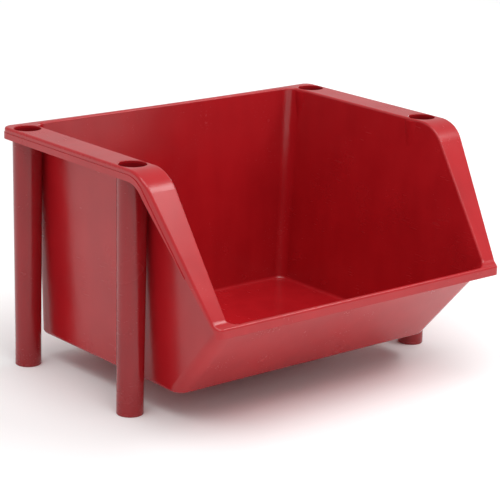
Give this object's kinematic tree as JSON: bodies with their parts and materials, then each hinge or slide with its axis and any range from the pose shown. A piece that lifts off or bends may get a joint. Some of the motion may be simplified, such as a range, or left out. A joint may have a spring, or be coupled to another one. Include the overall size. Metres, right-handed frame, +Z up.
{
  "type": "hopper-front stacking parts bin",
  "caption": "Plastic parts bin with a sloping open front and wide rim, on round legs whose feet drop into holes in the rim of the bin below.",
  "frame": {"origin": "on the floor, under the middle of the rim's outline", "axes": "+Z up, +Y from the hopper mouth to the back, +X to the right seen from the front"},
  "size_m": [0.491, 0.3958, 0.298],
  "materials": {
    "red_plastic": "gloss moulded, fine grain"
  },
  "bodies": {
    "bin_body": {"bin_body": "red_plastic"},
    "leg_front_left": {"leg_front_left": "red_plastic"},
    "leg_front_right": {"leg_front_right": "red_plastic"},
    "leg_back_left": {"leg_back_left": "red_plastic"},
    "leg_back_right": {"leg_back_right": "red_plastic"}
  },
  "joints": [
    {"name": "leg_pull_front_left", "type": "slide", "parent": "bin_body", "child": "leg_front_left", "axis": [0, 0, -1], "range_m": [0, 0.03]},
    {"name": "leg_pull_front_right", "type": "slide", "parent": "bin_body", "child": "leg_front_right", "axis": [0, 0, -1], "range_m": [0, 0.03]},
    {"name": "leg_pull_back_left", "type": "slide", "parent": "bin_body", "child": "leg_back_left", "axis": [0, 0, -1], "range_m": [0, 0.03]},
    {"name": "leg_pull_back_right", "type": "slide", "parent": "bin_body", "child": "leg_back_right", "axis": [0, 0, -1], "range_m": [0, 0.03]}
  ]
}
